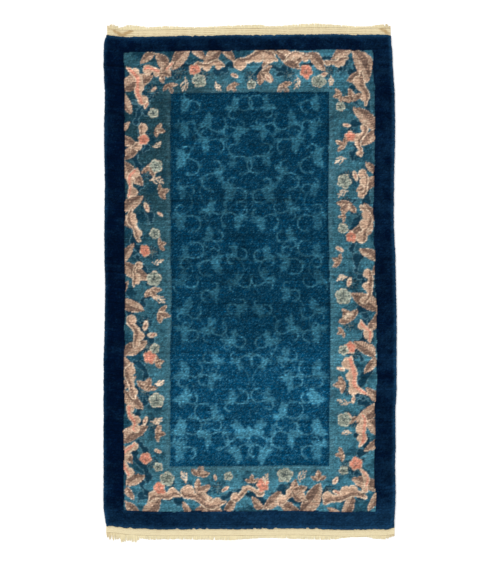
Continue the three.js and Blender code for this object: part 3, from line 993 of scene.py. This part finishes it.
def pile_part(name, lines, hole=None, flare=0.0):
    """Part of the pile: the knots between two rectangles of the grid, walls down from both, and
    a flat underside. With a hole, the underside is four strips that meet at the corners."""
    c0, c1, r0, r1 = lines
    knot_used = np.zeros(X.shape, bool)
    knot_used[r0 : r1 + 1, c0 : c1 + 1] = True
    cell_used = np.zeros((KNOT_ROWS, KNOT_COLUMNS), bool)
    cell_used[r0:r1, c0:c1] = True
    if hole:
        knot_used[hole[2] + 1 : hole[3], hole[0] + 1 : hole[1]] = False
        cell_used[hole[2] : hole[3], hole[0] : hole[1]] = False
    number = np.full(X.shape, -1)
    number[knot_used] = np.arange(knot_used.sum())
    i, j = np.nonzero(cell_used)
    quads = np.stack([number[i, j], number[i, j + 1], number[i + 1, j + 1], number[i + 1, j]], axis=1)

    points = [np.column_stack([rug_x[knot_used], rug_y[knot_used], height[knot_used]])]
    colours = [knots[knot_used]]
    flat_faces = []
    undersides = []
    for rectangle, way in [(lines, 1), (hole, -1)]:
        if rectangle is None:
            continue
        row, column, ends = round_knots(rectangle)
        inset = flare if rectangle is lines else 0.0
        x = np.clip(X[row, column], LEFT + inset, RIGHT - inset)
        y = np.clip(Y[row, column], FOOT + inset, HEAD - inset)
        low_x, low_y = on_the_rug(x, y)
        low = sum(len(part) for part in points) + np.arange(len(row))
        points.append(np.column_stack([low_x, low_y, np.full(len(row), PILE_FLOOR)]))
        # The lower ring of the walls is painted darker: painted shade deep in the sides of the pile.
        colours.append(0.7 * knots[row, column])
        flat_faces += [face[::way] for face in wall(number[row, column], low)]
        undersides.append((low, ends))
    if hole:
        for side in range(4):
            strip = []
            for low, ends in undersides:
                strip.append(np.take(low, np.arange(ends[side], ends[side + 1] + 1), mode="wrap"))
            outside, inside = strip
            flat_faces.append([*inside.tolist(), *outside[::-1].tolist()])
    else:
        flat_faces.append(undersides[0][0][::-1].tolist())
    points, colours = np.concatenate(points), np.concatenate(colours)
    make_piece(name, points, quads, flat_faces, colours, WOOL, "wool_pile", "knotted_rug")


# %% The three parts
whole = (0, KNOT_COLUMNS, 0, KNOT_ROWS)
outer_lines, field_lines = knot_lines(OUTER_LINE), knot_lines(FIELD_LINE)
pile_part("navy_border_pile", whole, hole=outer_lines, flare=PILE_FLARE)
pile_part("inner_border_pile", outer_lines, hole=field_lines)
pile_part("field_pile", field_lines)

# %% [markdown]
# ## The foundation
# Under the pile are the cotton warps and wefts, with the backs of the knots showing between
# them. So the underside has the design again, a little greyer, flat on the floor. One fine
# grid, a rim and a plain top make it, coarser than the pile because it is seldom seen.

# %% A slab with one fine side
BACK_COLUMNS = 196
BACK_ROWS = 330
FOUNDATION_TOP = PILE_FLOOR - 0.1
WEFT_GREY = dye(150, 146, 132)


def slab(name, x, y, fine, flat, colours, material, slot, node):
    """A closed slab: a grid with heights on one side, and one flat face at the other."""
    rows, columns = x.shape
    number = np.arange(rows * columns).reshape(rows, columns)
    corners = [number[:-1, :-1], number[:-1, 1:], number[1:, 1:], number[1:, :-1]]
    quads = np.stack(corners, axis=-1).reshape(-1, 4)
    row, column, _ = round_knots((0, columns - 1, 0, rows - 1))
    rim = number[row, column]
    low = rows * columns + np.arange(len(rim))
    flat_faces = [*wall(rim, low), low[::-1].tolist()]
    if np.mean(fine) < flat:
        quads = quads[:, ::-1]
        flat_faces = [face[::-1] for face in flat_faces]
    grid = np.column_stack([x.ravel(), y.ravel(), fine.ravel()])
    other = np.column_stack([x[row, column], y[row, column], np.full(len(rim), flat)])
    points = np.vstack([grid, other])
    colours = colours.reshape(-1, 3)
    colours = np.vstack([colours, colours[rim]])
    return make_piece(name, points, quads, flat_faces, colours, material, slot, node)


# %% The back of the rug
back_across = np.linspace(LEFT + PILE_FLARE, RIGHT - PILE_FLARE, BACK_COLUMNS)
back_along = np.linspace(FOOT + PILE_FLARE, HEAD - PILE_FLARE, BACK_ROWS)
back_x, back_y = on_the_rug(*np.meshgrid(back_across, back_along))
nearest_row = np.rint((back_along - FOOT) / KNOT_ALONG).astype(int)
nearest_column = np.rint((back_across - LEFT) / KNOT_ACROSS).astype(int)
knot_backs = 0.82 * knots[np.ix_(nearest_row, nearest_column)] + 0.10 * WEFT_GREY
flat_back = np.zeros(back_x.shape)
backs = (knot_backs, BACK_WOOL, "wool_pile", "knotted_rug")
foundation = slab("foundation", back_x, back_y, flat_back, FOUNDATION_TOP, *backs)

# %% [markdown]
# ## The woven ends
# Past the last row of knots the weaver beats in plain cotton wefts, which give a cream strip
# with ribs across the warps. A row of twined thread closes it, and the warps are cut off a
# finger's breadth further out. The strip is a surface whose height is the sum of a few waves.

# %% Sizes of the ends
ENDS = [
    {"name": "head", "way": 1, "edge": head_edge, "rib_shade": 1.35, "notches": [-404, 440]},
    {"name": "foot", "way": -1, "edge": foot_edge, "rib_shade": 0.4, "notches": []},
]
WEB_WIDTH = 20
WEB_TUCKED_UNDER = 1.5
WEB_HEIGHT = 2.2
RIB_HEIGHT = 0.5
BEAD_HEIGHT = 0.15
RIBS = 4
WEB_COLUMNS = 560
WEB_ROWS = 41
UNDYED = dye(242, 229, 190)
SHADED_COTTON = dye(188, 160, 116)
TWINE = dye(200, 174, 128)


def outward(end, x):
    """How far the pile reaches at an end, smoothed as a stretched cotton strip is."""
    offsets = np.linspace(-12, 12, 7)
    return np.mean([end["way"] * end["edge"](x + offset) for offset in offsets], axis=0)


# %% The cotton webs
NOTCH_START = 0.1
NOTCH_ROUNDING = 8
NOTCH_SPREAD = 34
NOTCH_WIDTH = 0.27


def notch_shade(x, share, middle):
    """The shadow of a fold in the web: a V that opens outwards from its middle."""
    arm = NOTCH_START + np.hypot(x - middle, NOTCH_ROUNDING) / NOTCH_SPREAD
    return np.exp(-(((share - arm) / NOTCH_WIDTH) ** 2))


def cotton_web(end):
    """Height: coarse ribs and finer ones, both as waves across the strip that wander a little
    along it. Colour: shaded between the ribs."""
    node = f"cotton_web_{end['name']}"
    low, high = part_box(node)
    x, share = np.meshgrid(np.linspace(low.x / MM, high.x / MM, WEB_COLUMNS), np.linspace(0, 1, WEB_ROWS))
    wander = 0.035 * np.sin(x / 37 + share * 2) + 0.02 * np.sin(x / 11)
    coarse = np.abs(np.sin(np.pi * RIBS * (share + wander)))
    fine = 0.5 + 0.5 * np.cos(2 * np.pi * 4 * RIBS * (share + wander))
    beads = 0.5 + 0.5 * np.sin(2 * np.pi * x / 3.3)
    z = WEB_HEIGHT - 0.1 + (RIB_HEIGHT - BEAD_HEIGHT) * coarse + BEAD_HEIGHT * fine * beads
    reach = outward(end, x) - WEB_TUCKED_UNDER + share * (WEB_WIDTH + WEB_TUCKED_UNDER)
    patches = np.interp(x[0], np.linspace(LEFT, RIGHT, 160), rng.uniform(0.1, 1.5, 160))
    notch = sum(notch_shade(x, share, middle) for middle in end["notches"])
    tone = 1 - end["rib_shade"] * (1 - smooth(1.7 * coarse)) * patches * rng.uniform(0.3, 1.4, x.shape)
    tone = np.clip(tone - notch * patches - np.abs(rng.normal(0, 0.2, x.shape)), 0, 1)
    colours = SHADED_COTTON + tone[..., None] * (UNDYED - SHADED_COTTON)
    order = slice(None, None, end["way"])
    name, y = f"cotton_web_strip_{end['name']}", end["way"] * reach
    slab(name, x[order], y[order], z[order], 0.0, colours[order], COTTON, "cotton_web", node)


# %% [markdown]
# ## Twined line and fringe
# A twisted pair of threads closes the web. It is one tube whose section, a slim oval, turns
# along the way, so it reads as two plies. The fringe is the warps' own ends, two for each knot
# in a row, lying in locks. They are one array of tapering tubes with closed tips, because
# separate objects would be slow, and hair would not come out as a mesh.

# %% Tubes along many paths at once


def tubes(paths, radii, sides, twist=None):
    """Points and faces of closed tubes. paths is tubes by sections by 3, radii tubes by
    sections. Each ring lies square to the mean way of its tube, in that way's level side
    direction and straight up. With twist, a ring is an oval turned by that angle."""
    count, sections, _ = paths.shape
    ahead = paths[:, -1] - paths[:, 0]
    ahead = ahead / np.linalg.norm(ahead, axis=1, keepdims=True)
    side = np.stack([ahead[:, 1], -ahead[:, 0], np.zeros(count)], axis=1)
    angle = np.arange(sides) / sides * 2 * np.pi
    radius = radii[..., None] * np.ones(sides)
    if twist is not None:
        radius = radius * (1 + 0.28 * np.cos(2 * (angle - twist[..., None])))
    right = (radius * np.cos(angle))[..., None] * side[:, None, None, :]
    up = (radius * np.sin(angle))[..., None] * np.array([0.0, 0.0, 1.0])
    points = paths[:, :, None, :] + right + up
    number = np.arange(count * sections * sides).reshape(count, sections, sides)
    after = np.roll(number, -1, axis=2)
    quads = np.stack([number[:, :-1], after[:, :-1], after[:, 1:], number[:, 1:]], axis=-1).reshape(-1, 4)
    caps = [*number[:, 0, ::-1].tolist(), *number[:, -1].tolist()]
    return points.reshape(-1, 3), quads, caps


# %% The twined line
HEADING_MIDDLE = WEB_WIDTH + 1.6
TWINE_RADIUS = 0.95
TWINE_PITCH = 6.0
TWINE_SIDES = 8


def twined_line(end):
    """One tube along the web's outer edge. Its oval section turns half round for each pitch."""
    node = f"fringe_{end['name']}"
    low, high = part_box(node)
    x = np.arange(low.x / MM + 1, high.x / MM - 1, 1.0)
    y = end["way"] * (outward(end, x) + HEADING_MIDDLE + 0.3 * np.sin(x / 29))
    path = np.stack([x, y, np.full(x.shape, TWINE_RADIUS * 1.25)], axis=1)[None]
    radii = np.full((1, len(x)), TWINE_RADIUS)
    points, quads, caps = tubes(path, radii, TWINE_SIDES, twist=(np.pi * x / TWINE_PITCH)[None])
    worn = np.interp(x, np.linspace(LEFT, RIGHT, 90), rng.uniform(0, 0.9, 90))
    worn = np.repeat(worn, TWINE_SIDES)
    colours = TWINE + worn[:, None] * (UNDYED - TWINE)
    make_piece(f"twined_line_{end['name']}", points, quads, caps, colours, COTTON, "cotton_fringe", node)


# %% The fringe
LOCKS = 104
STRANDS_PER_LOCK = 2 * KNOT_COLUMNS // LOCKS
STRAND_RADIUS = 1.0
STRAND_SECTIONS = 8
STRAND_SIDES = 5
LOCK_SPREAD = 0.43
DRAWN_IN = 0.86
CORNER_BROWNING_REACH = 25


def fringe(end):
    """Warp ends in locks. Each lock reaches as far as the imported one. A strand runs from its own
    root to a tip drawn in towards the lock's middle, waving a little, and thins as it goes."""
    node = f"fringe_{end['name']}"
    points = node_points(node)
    low, high = points[:, 0].min(), points[:, 0].max()
    pitch = (high - low) / LOCKS
    middle = low + (np.arange(LOCKS) + 0.5) * pitch
    near = np.abs(points[:, 0] - middle[:, None]) < 0.5 * pitch
    reach = np.where(near, end["way"] * points[:, 1], 0).max(axis=1)

    count = LOCKS * STRANDS_PER_LOCK
    lock = np.repeat(np.arange(LOCKS), STRANDS_PER_LOCK)
    place = np.tile(np.linspace(-LOCK_SPREAD, LOCK_SPREAD, STRANDS_PER_LOCK), LOCKS)
    lean = rng.normal(0, 1.0, LOCKS)[lock] + rng.normal(0, 0.8, count)
    root_x = middle[lock] + place * pitch
    tip_x = middle[lock] + DRAWN_IN * place * pitch + lean
    root = outward(end, root_x) + WEB_WIDTH + 0.6
    tip = root + (reach[lock] - root) * rng.uniform(0.84, 1.06, count)

    t = np.linspace(0, 1, STRAND_SECTIONS)
    swing = rng.uniform(0.1, 0.5, (count, 1))
    turns = t * rng.uniform(0.6, 1.4, (count, 1)) + rng.random((count, 1))
    wave = swing * np.sin(2 * np.pi * turns)
    x = root_x[:, None] + (tip_x - root_x)[:, None] * t**1.3 + wave * t
    y = end["way"] * (root[:, None] + (tip - root)[:, None] * t)
    lift = rng.uniform(0.0, 0.9, (count, 1)) * np.sin(np.pi * np.minimum(1, 1.15 * t))
    radii = STRAND_RADIUS * (1 - 0.3 * t**3) * np.ones((count, 1))
    path = np.stack([x, y, radii + 0.02 + lift], axis=-1)
    points, quads, caps = tubes(path, radii, STRAND_SIDES)
    # The strands are browner towards the rug's corners.
    corner_browning = 0.5 * np.exp(-np.minimum(root_x - low, high - root_x) / CORNER_BROWNING_REACH)
    yarn = UNDYED + corner_browning[:, None] * (SHADED_COTTON - UNDYED)
    yarn = yarn * rng.uniform(0.88, 1.08, (count, 1))
    colours = np.repeat(yarn, STRAND_SECTIONS * STRAND_SIDES, axis=0)
    make_piece(f"fringe_threads_{end['name']}", points, quads, caps, colours, COTTON, "cotton_fringe", node)


# %% Both ends
for weave in (cotton_web, twined_line, fringe):
    for end in ENDS:
        weave(end)
